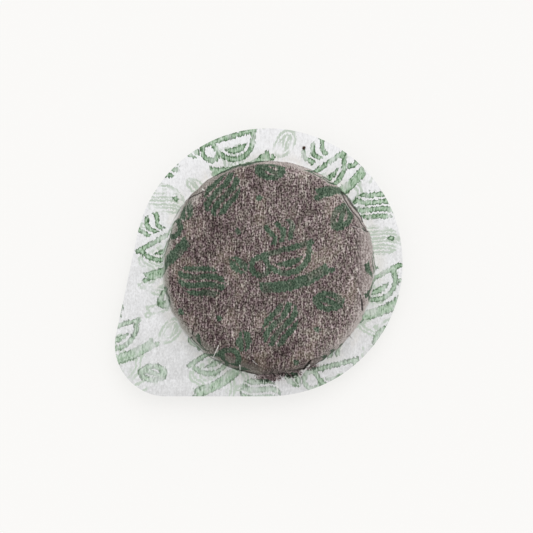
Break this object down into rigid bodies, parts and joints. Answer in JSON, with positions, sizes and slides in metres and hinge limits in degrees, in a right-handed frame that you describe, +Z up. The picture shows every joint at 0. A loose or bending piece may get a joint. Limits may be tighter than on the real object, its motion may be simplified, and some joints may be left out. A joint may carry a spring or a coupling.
{
  "type": "espresso pod",
  "caption": "Single-serve paper espresso pod: a pressed tablet of ground coffee sealed between filter papers with a round flange and a pull tab.",
  "frame": {"origin": "centre of the body's flat underside, on the axis of the round body", "axes": "+Z up through the crowned face, -Y towards the tip of the tab"},
  "size_m": [0.055, 0.065, 0.0102],
  "materials": {
    "filter_paper": "matt, fibrous, half see-through filter paper",
    "ground_coffee": "matt, grainy, pressed coffee grounds"
  },
  "bodies": {
    "root": {"top_filter": "filter_paper", "coffee_puck": "ground_coffee", "bottom_filter": "filter_paper"}
  },
  "joints": []
}
